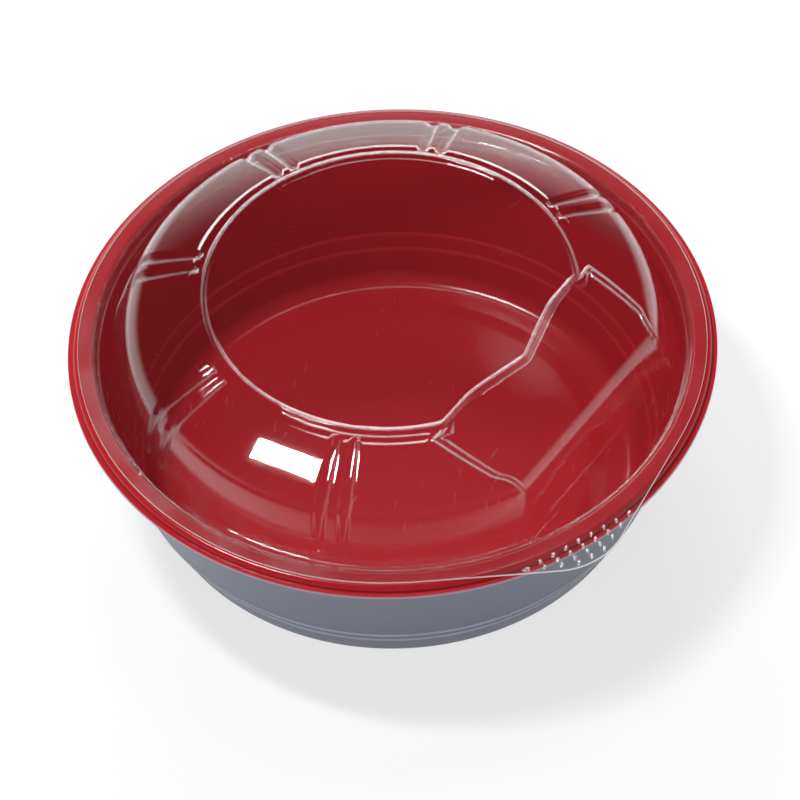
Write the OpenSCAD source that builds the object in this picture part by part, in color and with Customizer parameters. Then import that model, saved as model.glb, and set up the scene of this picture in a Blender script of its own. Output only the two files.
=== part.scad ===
// Disposable takeaway bowl with a clear snap-in lid, in millimetres.
// The origin is the centre of the ring that the bowl rests on, and +Z is up.
// The bowl is one sheet of two bonded colours: red inside and over the rim, grey outside and beneath.
// The lid sits in the bowl's mouth and lifts straight up. Its thumb tab and its flat panel turn with it.

/* [Bowl] */
// Diameter over the cut edge of the rim
rim_d = 176; // [160:1:200]
// Height from the table to the flat top of the rim
bowl_h = 52.5; // [46:0.5:66]
// Draft of the main wall from the vertical, in degrees
wall_draft = 13; // [10:0.5:15]
// Thickness of the grey outer layer
outer_t = 0.45; // [0.3:0.05:0.5]
// Thickness of the red inner layer
inner_t = 0.35; // [0.25:0.05:0.4]

/* [Foot] */
// Radius of the round corner between the foot and the wall
foot_corner_r = 6; // [4:0.5:8]
// Width of the flat ring that the bowl rests on
foot_ring_w = 4; // [2:0.5:8]
// Height that the middle of the base is pushed up
base_lift = 1.2; // [0.6:0.1:2.5]
// Width of the slope between the foot ring and the raised middle
base_slope_w = 5; // [3:0.5:10]

/* [Stacking ridges] */
// Height of the upper ridge above the table
upper_ridge_z = 15.5; // [14:0.5:22]
// Distance between the two ridges
ridge_pitch = 4.3; // [3.5:0.1:6]
// Width of the step below each ridge
ridge_step_w = 0.7; // [0.4:0.1:1]
// Height of the step below each ridge
ridge_step_h = 0.5; // [0.4:0.1:1]
// Draft of the bands below the ridges, in degrees
band_draft = 17; // [14:0.5:22]

/* [Rim] */
// Width of the flat that the lid's flange lies on
rim_flat_w = 3.9; // [3:0.1:6]
// Radius of the round edge outside that flat
rim_round_r = 1.4; // [1.2:0.1:1.5]
// Depth of the step from the flat to the ledge round it
rim_step_drop = 2; // [1.8:0.1:2.6]
// Width of that ledge, out to the cut edge
rim_step_w = 1.4; // [1.2:0.1:2.5]
// Inside radius of the sheet's folds
fold_r = 0.2; // [0.1:0.05:0.3]

/* [Lid] */
// Thickness of the lid's clear sheet
lid_t = 0.4; // [0.3:0.05:0.6]
// Gap under the lid's flange, where it lies on the rim
seat_gap = 0.1; // [0.05:0.05:0.3]
// Gap between the lid's plug wall and the bowl's wall
plug_gap = 0.3; // [0.2:0.05:0.5]
// Depth of the channel below the flange
plug_h = 3.9; // [3:0.1:6]
// Width of the channel between the plug wall and the dome
channel_w = 3.4; // [2.5:0.1:5]
// Height of the flat top above the channel
dome_h = 22.1; // [19:0.1:28]
// Draft of the dome's wall from the vertical, in degrees
dome_draft = 20; // [14:0.5:24]
// Radius of the dome's round shoulder
shoulder_r = 9; // [6:0.5:10]
// Slope of the roof between the shoulder and the flat top, in degrees
roof_slope = 20; // [16:0.5:22]
// Diameter of the flat top's edge
top_d = 108; // [96:1:112]
// Distance from the flat top's edge to the bead ring
bead_inset = 2.8; // [1:0.1:6]
// Width of the bead
bead_w = 2.6; // [2:0.1:3]
// Height of the bead
bead_h = 0.8; // [0.5:0.1:1]

/* [Flat panel] */
// Direction of the panel's middle, counterclockwise from +X, in degrees
panel_turn = -36.7; // [-90:0.1:90]
// How far the panel's straight top edge lies inside the bead ring
panel_top_inset = 11.2; // [9:0.1:14]
// How far the top edge's middle pokes out past its straight ends
panel_nose = 5.1; // [3:0.1:7]
// Width over the two corners where the nose starts
panel_nose_w = 39; // [30:1:44]
// How far the panel's foot lies inside the dome's foot
panel_foot_inset = 8.2; // [6:0.1:10]
// Draft of the panel's wall from the vertical, in degrees
panel_draft = 18.6; // [15:0.1:22]
// Slope of the panel's roof at its top edge, in degrees
panel_slope = 12.6; // [10:0.1:15]
// Radius of the roof's slight crown, from its top edge down
panel_crown_r = 208; // [150:1:400]

/* [Flutes] */
// Depth of each flute
flute_depth = 1; // [0.6:0.1:1.3]
// Width of each flute
flute_w = 4.2; // [3:0.1:5]
// Distance between the two flutes of a pair
flute_pitch = 6.5; // [5.5:0.1:9]
// Height above the channel at which the flutes end
flute_foot_h = 2.2; // [1.5:0.1:5]
// Angle from the panel's middle to the first pair on each side, in degrees
flute_first = 67.5; // [55:0.5:72]
// Angle from one pair to the next, in degrees
flute_step = 45; // [30:1:45]

/* [Thumb tab] */
// Direction of the tab, counterclockwise from +X, in degrees
tab_turn = -58; // [-120:1:90]
// How far the tab reaches past the lid's flange
tab_reach = 9.7; // [5:0.1:11]
// Radius of the tab's round nose
tab_nose_r = 20; // [12:0.5:24]

/* [Hidden] */
$fn = 180;
// Largest turn of one straight piece in a rounded corner, in degrees
arc_step = 13;
// Width of the bead's flat crest, as a share of the bead's width
bead_crest_share = 0.4;
// Number of flute pairs, and of the lid's lines between two pairs and across the panel
flute_pairs = 6;
lines_between = 5;
lines_past_panel = 41;
// Where a flute's lines lie, as shares of its half width
flute_line_shares = [-1, -0.5, 0, 0.5, 1];

sheet_t = outer_t + inner_t;
fold_out_r = sheet_t + fold_r;
rim_r = rim_d / 2;
rim_edge_x = rim_r - rim_step_w;
mouth_r = rim_edge_x - rim_round_r - rim_flat_w;

// The bowl's sheet, drawn along its red face from the base's middle to the rim's edge
function wall_x(z) = mouth_r - (bowl_h - z) * tan(wall_draft);
lower_ridge_z = upper_ridge_z - ridge_pitch;
upper_ridge_x = wall_x(upper_ridge_z);
lower_ridge_x = upper_ridge_x - ridge_step_w - (ridge_pitch - ridge_step_h) * tan(band_draft);
foot_wall_x = lower_ridge_x - ridge_step_w + sheet_t / cos(band_draft)
    - (lower_ridge_z - ridge_step_h) * tan(band_draft);
foot_r = foot_wall_x - foot_corner_r * tan((90 - band_draft) / 2);
ring_in_r = foot_r - foot_ring_w;

bowl_path = round_path([
    [0, base_lift + sheet_t, 0],
    [ring_in_r - base_slope_w, base_lift + sheet_t, foot_corner_r],
    [ring_in_r, sheet_t, sheet_t],
    [foot_wall_x - sheet_t * (1 - sin(band_draft)) / cos(band_draft), sheet_t, foot_corner_r - sheet_t],
    [lower_ridge_x - ridge_step_w, lower_ridge_z - ridge_step_h, fold_out_r],
    [lower_ridge_x, lower_ridge_z, fold_r],
    [upper_ridge_x - ridge_step_w, upper_ridge_z - ridge_step_h, fold_out_r],
    [upper_ridge_x, upper_ridge_z, fold_r],
    [mouth_r, bowl_h, fold_out_r],
    [rim_edge_x, bowl_h, rim_round_r],
    [rim_edge_x, bowl_h - rim_step_drop, fold_r],
    [rim_r, bowl_h - rim_step_drop, 0]
]);

// The lid's sheet, drawn along its upper face from the middle of the top to the flange's edge
flange_z = bowl_h + seat_gap + lid_t;
channel_z = flange_z - plug_h;
top_z = channel_z + dome_h;
flange_r = mouth_r + rim_flat_w;
top_r = top_d / 2;
bead_r = top_r - bead_inset - bead_w / 2;
crest_w = bead_w * bead_crest_share;
function plug_x(z) = wall_x(z) - (plug_gap + lid_t) / cos(wall_draft);
dome_foot_r = plug_x(channel_z) - channel_w;

// Where the roof's line and the dome wall's line meet, as [x, z]
dome_corner = line_meet([top_r, top_z], -roof_slope, [dome_foot_r, channel_z], dome_draft - 90);

// The upper face in section: the bead, the roof, the shoulder, the wall, the channel and the flange
shoulder = corner_arc([top_r, top_z], dome_corner, [dome_foot_r, channel_z], shoulder_r);
bead_section = [
    [bead_r - bead_w / 2, top_z],
    [bead_r - crest_w / 2, top_z + bead_h],
    [bead_r + crest_w / 2, top_z + bead_h],
    [bead_r + bead_w / 2, top_z]
];
function dome_wall(h) = [dome_foot_r - h * tan(dome_draft), channel_z + h];
lid_path = concat(bead_section, [[top_r, top_z], ([top_r, top_z] + shoulder[0]) / 2], shoulder, [
    dome_wall(flute_foot_h + flute_w / 2),
    dome_wall(flute_foot_h),
    dome_wall(0),
    [plug_x(channel_z), channel_z],
    [plug_x(flange_z), flange_z],
    [flange_r, flange_z]
]);
top_edge = len(bead_section);
flute_end = top_edge + len(shoulder) + 2;
foot_edge = flute_end + 2;
rim_edge = len(lid_path) - 1;

// The directions of the pairs of flutes, and where the lines along a pair lie beside its middle
pair_turns = [for (i = [0:flute_pairs - 1]) panel_turn + flute_first + i * flute_step];
flute_offsets = [
    for (side = [-1, 1], share = flute_line_shares)
        side * flute_pitch / 2 + share * flute_w / 2
];
pair_edge = (flute_pitch + flute_w) / 2;

// The lid's lines from its middle to its edge, each as [angle, offset beside it, share of the offset]
lid_lines = [
    for (i = [0:flute_pairs - 1]) each concat(
        [for (offset = flute_offsets) [pair_turns[i], offset, 1]],
        i < flute_pairs - 1
            ? gap_lines(pair_turns[i], pair_turns[i + 1], lines_between)
            : gap_lines(pair_turns[i], pair_turns[0] + 360, lines_past_panel)
    )
];
function gap_lines(from, to, count) = [
    for (k = [1:count])
        let (share = k / (count + 1))
        [from + (to - from) * share, pair_edge, 1 - 2 * share]
];
function line_turn(line, r) = line[0] + line[2] * asin(line[1] / r);

// The panel's section: its roof falls faster and faster, and the ridge of its nose runs out half way down
panel_top_x = bead_r - panel_top_inset;
panel_foot_x = dome_foot_r - panel_foot_inset;
function roof_fall(run) = tan(panel_slope) + abs(run) / panel_crown_r;
function roof_drop(run) = run * (tan(panel_slope) + roof_fall(run)) / 2;
panel_corner_x = panel_foot_x - (dome_h - roof_drop(panel_foot_x - panel_top_x)) * tan(panel_draft);
ridge_end_run = (panel_corner_x - panel_top_x) / 2 + panel_nose;
ridge_times = roof_drop(ridge_end_run) / roof_drop(ridge_end_run - panel_nose);

// Angle from the panel's middle to the ends of its top edge
panel_end_turn = acos(panel_top_x / bead_r);

// Distance from the lid's axis to the middle of the tab's round nose
tab_x = flange_r + tab_reach - tab_nose_r;
tab_side = acos((flange_r - tab_nose_r) / tab_x);
// Angle from the panel's middle within which the panel may reach
panel_reach_turn = (flute_first + panel_end_turn) / 2;

function unit(v) = v / norm(v);
function right_of(v) = [v[1], -v[0]];
function xz(p) = [p[0], p[1]];

// The point where two lines meet, each given by a point and its angle to +X in degrees
function line_meet(p, p_angle, q, q_angle) =
    let (reach = ((q[0] - p[0]) * sin(q_angle) - (q[1] - p[1]) * cos(q_angle)) / sin(q_angle - p_angle))
    p + reach * [cos(p_angle), sin(p_angle)];

// The middle of the arc that rounds the corner at q, on the way from p to r
function arc_middle(p, q, r, radius) =
    let (arrive = unit(q - p), leave = unit(r - q))
    q + unit(leave - arrive) * radius / cos(acos(arrive * leave) / 2);

// The points of that arc
function corner_arc(p, q, r, radius) =
    let (arrive = unit(q - p), leave = unit(r - q), middle = arc_middle(p, q, r, radius))
    let (turn = acos(arrive * leave), side = cross(arrive, leave) > 0 ? 1 : -1)
    let (start = atan2(arrive[1], arrive[0]) - 90 * side, steps = ceil(turn / arc_step))
    [for (i = [0:steps])
        let (angle = start + side * turn * i / steps)
        middle + radius * [cos(angle), sin(angle)]];

// A path through corners [x, z, radius], rounded at every corner but its two ends
function round_path(corners) = [
    for (i = [0:len(corners) - 1])
        each (i == 0 || i == len(corners) - 1)
            ? [xz(corners[i])]
            : corner_arc(xz(corners[i - 1]), xz(corners[i]), xz(corners[i + 1]), corners[i][2])
];

// The same path, moved to its right by a distance
function right_path(path, distance) = [
    for (i = [0:len(path) - 1])
        let (before = right_of(unit(path[max(i, 1)] - path[max(i, 1) - 1])))
        let (after = right_of(unit(path[min(i + 1, len(path) - 1)] - path[min(i, len(path) - 2)])))
        path[i] + distance * (before + after) / (1 + before * after)
];

function backward(path) = [for (i = [len(path) - 1:-1:0]) path[i]];

// One layer of a turned sheet, between two depths to the right of its path
module turned_layer(path, near, far) {
    rotate_extrude()
        polygon(concat(right_path(path, near), backward(right_path(path, far))));
}

module bowl_outer_layer() {
    color("#6a7080") turned_layer(bowl_path, inner_t, sheet_t);
}

module bowl_inner_layer() {
    color("#b9343a") turned_layer(bowl_path, 0, inner_t);
}

// Height of the panel's roof at a point seen from above, with x along the panel's middle
function panel_roof_z(x, y) = top_z - min(
    roof_drop(x - panel_top_x),
    ridge_times * roof_drop(x - panel_top_x - panel_nose * (1 - 2 * abs(y) / panel_nose_w))
);

// Distance from the lid's axis to the panel's top edge, at an angle from the panel's middle
function panel_top_r(turn) =
    let (slant = panel_nose / (panel_nose_w / 2))
    max(panel_top_x / cos(turn), (panel_top_x + panel_nose) / (cos(turn) + slant * abs(sin(turn))));

// How far a point of the lid's section is from the flat panel, along a line with direction way
function panel_gap(point, way, turn, depth) =
    let (x = point[0] * cos(turn), y = point[0] * sin(turn))
    let (wall_x = panel_foot_x - (point[1] - channel_z) * tan(panel_draft))
    let (slope = atan(roof_fall(x - panel_top_x)))
    let (above_roof = (point[1] - panel_roof_z(x, y)) * cos(slope) + depth)
    let (past_wall = (x - wall_x) * cos(panel_draft) + depth)
    let (roof_run = way * [sin(slope) * cos(turn), cos(slope)])
    let (wall_run = way * [cos(panel_draft) * cos(turn), sin(panel_draft)])
    max(above_roof / roof_run, past_wall / wall_run);

// How that point moves to lie on the panel: towards a point deep inside the lid, so that points spread
// over the panel's roof and wall, and in two steps because the roof is curved
function panel_sink(point, turn, depth) =
    let (way = unit(point - [panel_top_x, channel_z]), step = panel_gap(point, way, turn, depth))
    max(0, step + panel_gap(point - step * way, way, turn, depth)) * way;

// Depth of the flutes at a distance to the side of their pair's middle
function flute_sink(side) =
    let (share = 2 * (abs(side) - flute_pitch / 2) / flute_w)
    flute_depth * max(0, 1 - share * share);

// One point of the section, moved along it to the panel's top edge or in to the panel's foot
function section_point(i, path, from_panel, depth) =
    i < top_edge && abs(from_panel) < panel_end_turn
        ? path[i] + [panel_top_r(from_panel) - bead_r, 0]
        : i == foot_edge && abs(from_panel) < panel_reach_turn
        ? [min(path[i][0], panel_foot_in(depth) / cos(from_panel)), path[i][1]]
        : path[i];

// One point of the lid's sheet: the section's point, sunk by the panel or a flute, or run out to the tab
function lid_point(i, line, path, outs, depth) =
    let (angle = line_turn(line, lid_path[i][0]), from_panel = turn_between(angle, panel_turn))
    let (point = section_point(i, path, from_panel, depth))
    let (may_sink = i >= top_edge - 1 && i < foot_edge && abs(from_panel) < panel_reach_turn)
    let (sink = may_sink ? panel_sink(point, from_panel, depth) : [0, 0])
    let (flute = i >= top_edge && i <= flute_end && line[2] == 1 ? flute_sink(line[1]) : 0)
    let (tab = i == rim_edge ? tab_r(turn_between(angle, tab_turn)) - flange_r : 0)
    let (p = point - sink - flute * outs[i] + [tab, 0])
    [p[0] * cos(angle), p[0] * sin(angle), p[1]];

function turn_between(angle, from) = (angle - from + 540) % 360 - 180;

// Distance from the lid's axis to the panel's foot, at a depth inside the sheet
function panel_foot_in(depth) = panel_foot_x - depth * (1 - sin(panel_draft)) / cos(panel_draft);

// Distance from the lid's axis to the edge of its flange and thumb tab, at an angle from the tab
function tab_r(turn) =
    let (away = abs(turn), nose_turn = atan2(tab_nose_r * sin(tab_side), tab_x + tab_nose_r * cos(tab_side)))
    away >= tab_side
        ? flange_r
        : away > nose_turn
        ? flange_r / cos(tab_side - away)
        : tab_x * cos(away) + sqrt(tab_nose_r ^ 2 - (tab_x * sin(away)) ^ 2);

// The triangles between two lines of points, wound to face up from a line to the next one
function strip(a, b, first, last) = [
    for (i = [first:last - 1]) each [[a + i, b + i, b + i + 1], [a + i, b + i + 1, a + i + 1]]
];
function flipped(triangles) = [for (t = triangles) [t[0], t[2], t[1]]];

module lid() {
    outs = [for (p = right_path(lid_path, -1) - lid_path) unit(p)];
    under_path = right_path(lid_path, lid_t);
    upper = [for (line = lid_lines, i = [0:rim_edge]) lid_point(i, line, lid_path, outs, 0)];
    under = [for (line = lid_lines, i = [0:rim_edge]) lid_point(i, line, under_path, outs, lid_t)];
    per_line = rim_edge + 1;
    under_first = len(upper);
    upper_middle = 2 * under_first;
    under_middle = upper_middle + 1;
    faces = [
        for (j = [0:len(lid_lines) - 1])
            let (a = j * per_line, b = (j + 1) % len(lid_lines) * per_line)
            let (under_a = under_first + a, under_b = under_first + b)
            each concat(
                strip(a, b, 0, rim_edge),
                flipped(strip(under_a, under_b, 0, rim_edge)),
                [
                    [upper_middle, b, a],
                    [under_middle, under_a, under_b],
                    [a + rim_edge, b + rim_edge, under_b + rim_edge],
                    [a + rim_edge, under_b + rim_edge, under_a + rim_edge]
                ]
            )
    ];
    color("#dfe8ee")
        polyhedron(concat(upper, under, [[0, 0, top_z], [0, 0, top_z - lid_t]]), faces);
}

bowl_outer_layer();
bowl_inner_layer();
lid();
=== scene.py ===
import math

import bpy
import numpy as np
from mathutils import Matrix


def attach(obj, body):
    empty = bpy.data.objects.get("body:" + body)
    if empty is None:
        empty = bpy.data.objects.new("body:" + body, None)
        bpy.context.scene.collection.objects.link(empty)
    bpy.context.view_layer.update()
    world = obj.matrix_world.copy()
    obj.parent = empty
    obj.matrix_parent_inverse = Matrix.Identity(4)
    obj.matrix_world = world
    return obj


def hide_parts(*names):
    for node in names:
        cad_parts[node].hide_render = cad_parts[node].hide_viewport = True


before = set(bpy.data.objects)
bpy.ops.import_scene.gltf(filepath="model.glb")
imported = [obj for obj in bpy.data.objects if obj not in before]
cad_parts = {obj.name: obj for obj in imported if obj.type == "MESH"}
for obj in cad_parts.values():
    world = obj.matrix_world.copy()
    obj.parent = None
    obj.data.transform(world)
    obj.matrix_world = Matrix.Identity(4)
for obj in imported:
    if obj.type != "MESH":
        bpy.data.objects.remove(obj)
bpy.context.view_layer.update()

print("packed part loaded")

mm = 0.001  # sizes below are in millimetres and degrees
farAway = 1e3  # stands for a face that isn't there


# Unit vector from one point to the next.
def towards(start, end):
    step = np.asarray(end, float) - np.asarray(start, float)
    return step / np.linalg.norm(step)


# The arc that touches both legs of a corner: its middle lies on the corner's bisector at
# radius / cos(half the turn), and its points step evenly through the turn.
def cornerArc(before, corner, after, radius, step):
    arrive, leave = towards(before, corner), towards(corner, after)
    turn = math.acos(np.clip(arrive @ leave, -1, 1))
    middle = np.asarray(corner) + towards(arrive, leave) * radius / math.cos(turn / 2)
    side = 1 if arrive[0] * leave[1] - arrive[1] * leave[0] > 0 else -1
    first = math.atan2(arrive[1], arrive[0]) - side * math.pi / 2
    angles = first + side * np.linspace(0, turn, math.ceil(math.degrees(turn) / step) + 1)
    return middle + radius * np.stack([np.cos(angles), np.sin(angles)], 1)


# A path through corners (x, z, radius), each rounded by its own arc, the two ends kept as they are.
def roundedPath(corners, step):
    points = [np.array([corners[0][:2]])]
    for before, corner, after in zip(corners, corners[1:], corners[2:]):
        points.append(cornerArc(before[:2], corner[:2], after[:2], corner[2], step))
    points.append(np.array([corners[-1][:2]]))
    return np.concatenate(points)


# The same path moved to its right: each point goes along the mitre of its two legs' normals.
def rightOf(path, distance):
    leg = np.diff(path, axis=0)
    leg /= np.linalg.norm(leg, axis=1, keepdims=True)
    normal = np.stack([leg[:, 1], -leg[:, 0]], 1)
    before, after = np.vstack([normal[:1], normal]), np.vstack([normal, normal[-1:]])
    mitre = (before + after) / (1 + (before * after).sum(1, keepdims=True))
    return path + distance * mitre


# Adds points between those that lie far apart, evenly along each leg.
def filledIn(path, longest):
    points = [path[:1]]
    for start, end in zip(path, path[1:]):
        count = max(1, math.ceil(np.linalg.norm(end - start) / longest))
        shares = np.arange(1, count + 1)[:, None] / count
        points.append(start + (end - start) * shares)
    return np.concatenate(points)


# Smaller of two values, with a round of the given width where they meet.
def softMin(a, b, width):
    share = np.clip(0.5 + 0.5 * (b - a) / width, 0, 1)
    return b + (a - b) * share - width * share * (1 - share)


# An angle in radians, brought to between minus pi and pi.
def wrapped(angle):
    return (angle + 3 * math.pi) % (2 * math.pi) - math.pi


# 0 below the first value, 1 above the second, smooth between.
def smoothStep(low, high, value):
    share = np.clip((value - low) / (high - low), 0, 1)
    return share * share * (3 - 2 * share)


# A raised cosine: 1 at zero, 0 at one to either side and beyond.
def hump(share):
    return 0.5 + 0.5 * np.cos(math.pi * np.clip(share, -1, 1))


sharpFrom = 50  # faces that turn more than this, in degrees, meet in a sharp edge


# A skin from rings of points, first to last: quads between neighbouring rings, a fan of triangles to
# the pole at the first end, and one to a pole at the last end unless that end stays open.
def skin(name, rings, firstPole, lastPole=None):
    count, turns = rings.shape[:2]
    poles = [firstPole] if lastPole is None else [firstPole, lastPole]
    points = np.concatenate([rings.reshape(-1, 3), poles]) * mm
    here = np.arange(turns)
    there = np.roll(here, -1)
    rows = np.arange(count - 1)[:, None] * turns
    quads = np.stack([rows + here, rows + turns + here, rows + turns + there, rows + there], 2)
    last, pole = (count - 1) * turns, count * turns
    faces = quads.reshape(-1, 4).tolist() + np.stack([np.full(turns, pole), here, there], 1).tolist()
    if lastPole is not None:
        faces += np.stack([np.full(turns, pole + 1), last + there, last + here], 1).tolist()
    mesh = bpy.data.meshes.new(name)
    mesh.from_pydata(points.tolist(), [], faces)
    mesh.polygons.foreach_set("use_smooth", np.ones(len(mesh.polygons), bool))
    mesh.set_sharp_from_angle(angle=math.radians(sharpFrom))
    piece = bpy.data.objects.new(name, mesh)
    bpy.context.scene.collection.objects.link(piece)
    return piece


bowl = {
    "rimRadius": 88.0,  # over the cut edge
    "height": 52.5,  # table to the rim's flat top
    "wallDraft": 13.0,
    "greyThickness": 0.45,
    "redThickness": 0.35,
    "footCorner": 6.0,  # round corner between foot and wall
    "footRing": 4.0,  # width of the ring it rests on
    "baseLift": 1.2,
    "baseSlope": 5.0,
    "ridgeHeight": 15.5,  # upper ridge above the table
    "ridgePitch": 4.3,
    "ridgeStepWidth": 0.7,
    "ridgeStepHeight": 0.5,
    "bandDraft": 17.0,
    "ridgeLip": 0.32,  # how far each ridge's lip stands out
    "ridgeLipHalf": 0.55,
    "ridgeLipDrop": 0.35,  # its middle lies this far below the ridge's corner
    "ridgeStep": 0.2,  # distance between points round the ridges
    "ridgeMargin": (1.5, 1.0),  # how far below and above them that holds
    "longestLeg": 5.0,  # distance between points elsewhere
    "rimFlat": 3.9,
    "rimRound": 1.4,
    "rimStepWidth": 1.4,
    "rimStepDrop": 2.0,
    "fold": 0.2,  # inside radius of the sheet's folds
    "arcStep": 9.0,  # largest turn between two points of a rounded corner
    "turns": 400,  # columns round the bowl
    "nubTurn": -67.5,  # where a small moulding nub sits on the upper ridge
    "nubReach": 1.6,  # angle to each side of it that gets fine columns
    "nubStep": 0.2,
    "nubDrop": 0.1,  # its middle lies this far below the ridge's corner
    "nubSize": 0.8,
    "nubHeight": 0.3,
}

sheet = bowl["greyThickness"] + bowl["redThickness"]
foldOut = sheet + bowl["fold"]
rimEdge = bowl["rimRadius"] - bowl["rimStepWidth"]
mouth = rimEdge - bowl["rimRound"] - bowl["rimFlat"]
ridges = bowl["ridgeHeight"], bowl["ridgeHeight"] - bowl["ridgePitch"]


# Inner face of the bowl's wall: a straight line that leans in by the draft, below the mouth.
def wallRadius(height):
    return mouth - (bowl["height"] - height) * math.tan(math.radians(bowl["wallDraft"]))


# The sheet's red face in section, from the base's middle over the rim to its cut edge, corner by corner.
def bowlPath():
    b = bowl
    lean = math.radians(b["bandDraft"])
    upperZ, lowerZ = ridges
    upperX = wallRadius(upperZ)
    lowerX = upperX - b["ridgeStepWidth"] - (b["ridgePitch"] - b["ridgeStepHeight"]) * math.tan(lean)
    footWall = lowerX - b["ridgeStepWidth"] - (lowerZ - b["ridgeStepHeight"]) * math.tan(lean)
    footWall += sheet / math.cos(lean)
    ringIn = footWall - b["footCorner"] * math.tan((math.pi / 2 - lean) / 2) - b["footRing"]
    innerFoot = footWall - sheet * (1 - math.sin(lean)) / math.cos(lean)
    return roundedPath([
        (0, b["baseLift"] + sheet, 0),
        (ringIn - b["baseSlope"], b["baseLift"] + sheet, b["footCorner"]),
        (ringIn, sheet, sheet),
        (innerFoot, sheet, b["footCorner"] - sheet),
        (lowerX - b["ridgeStepWidth"], lowerZ - b["ridgeStepHeight"], foldOut),
        (lowerX, lowerZ, b["fold"]),
        (upperX - b["ridgeStepWidth"], upperZ - b["ridgeStepHeight"], foldOut),
        (upperX, upperZ, b["fold"]),
        (mouth, b["height"], foldOut),
        (rimEdge, b["height"], b["rimRound"]),
        (rimEdge, b["height"] - b["rimStepDrop"], b["fold"]),
        (b["rimRadius"], b["height"] - b["rimStepDrop"], 0),
    ], b["arcStep"])


# The same path with extra points, by their distance along it, where it passes between two heights.
def closerBetween(path, low, high, step):
    run = np.concatenate([[0], np.cumsum(np.linalg.norm(np.diff(path, axis=0), axis=1))])
    extra = np.arange(0, run[-1], step)
    rise = np.interp(extra, run, path[:, 1])
    run, before = np.union1d(run, extra[(rise > low) & (rise < high)]), run
    return np.stack([np.interp(run, before, path[:, 0]), np.interp(run, before, path[:, 1])], 1)


# One layer: the part of the sheet between two depths, turned about the axis. On the outside each
# ridge has a lip, a raised cosine of the height, and the nub is a small round swelling of the upper
# one, by a bell curve of the distance from its middle.
def bowlLayer(name, near, far):
    b = bowl
    outside = far >= sheet
    path = filledIn(bowlPath(), b["longestLeg"])
    outer = rightOf(path, far)
    if outside:
        below, above = b["ridgeMargin"]
        outer = closerBetween(outer, ridges[1] - below, ridges[0] + above, b["ridgeStep"])
        for ridge in ridges:
            beside = (outer[:, 1] - ridge + b["ridgeLipDrop"]) / b["ridgeLipHalf"]
            outer[:, 0] += b["ridgeLip"] * hump(beside)
    loop = np.concatenate([rightOf(path, near), outer[::-1]])
    first, last = loop[0], loop[-1]
    loop = loop[1:-1]

    nubTurn = math.radians(b["nubTurn"])
    angles = np.linspace(0, 2 * math.pi, b["turns"], endpoint=False)
    extra = nubTurn + np.radians(np.arange(-b["nubReach"], b["nubReach"] + 0.01, b["nubStep"]))
    angles = np.unique(np.concatenate([angles, extra % (2 * math.pi)]))
    radius = np.repeat(loop[:, :1], len(angles), 1)
    height = np.repeat(loop[:, 1:], len(angles), 1)
    if outside:
        aside = radius * np.sin(angles - nubTurn)
        away = (aside**2 + (height - b["ridgeHeight"] + b["nubDrop"])**2) / b["nubSize"]**2
        radius = radius + b["nubHeight"] * np.exp(-2 * away) * (np.cos(angles - nubTurn) > 0)
    rings = np.stack([radius * np.cos(angles), radius * np.sin(angles), height], 2)
    return skin(name, rings, (0, 0, first[1]), (0, 0, last[1]))


redSkin = bowlLayer("bowl_red_skin", 0.0, bowl["redThickness"])
greySkin = bowlLayer("bowl_grey_skin", bowl["redThickness"], sheet)
print("bowl layers made")


lid = {
    "thickness": 0.4,
    "flangeHeight": 53.0,  # upper face of the flange
    "channelHeight": 49.1,  # upper face of the channel
    "topHeight": 71.2,
    "domeFoot": 76.4,  # radius of the dome's foot
    "domeDraft": 20.0,
    "shoulder": 9.0,
    "roofSlope": 20.0,
    "topEdge": 54.0,  # radius of the flat top
    "edgeRound": 5.0,  # radius of the crease at the flat top's edge
    "roofCrown": 0.12,  # how far the roof swells half way between crease and shoulder
    "beadRadius": 49.9,
    "beadHalf": 1.3,
    "beadHeight": 0.8,
    "plugGap": 0.3,
    "flangeEdge": 85.2,
    "channelRound": 0.9,
    "flangeRound": 0.7,
    "landWidth": 0.6,  # flat strip between the bead and the crease
    "edgeStep": 3.0,  # largest turn between two points of the crease, the shoulder and the folds
    "shoulderStep": 4.2,
    "footStep": 15.0,
    "foldStep": 16.0,
    "roofStep": 1.2,  # distance between two points of the roof and of the wall
    "wallStep": 2.0,
    "topShares": (0.15, 0.45, 0.75, 0.9, 0.97),  # rows of the flat top, as shares of the way to the bead
    "beadRows": 9,
    "flangeShares": (0.28, 0.97),  # the flange's rows lie closer up to the first of these
    "flangeRows": (6, 24),
    "parallelFrom": 44.0,  # radius outside which columns beside a pair of flutes run parallel
    "insideFrom": 6.0,  # the panel's cut is measured from a point this far inside and below
}

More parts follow.
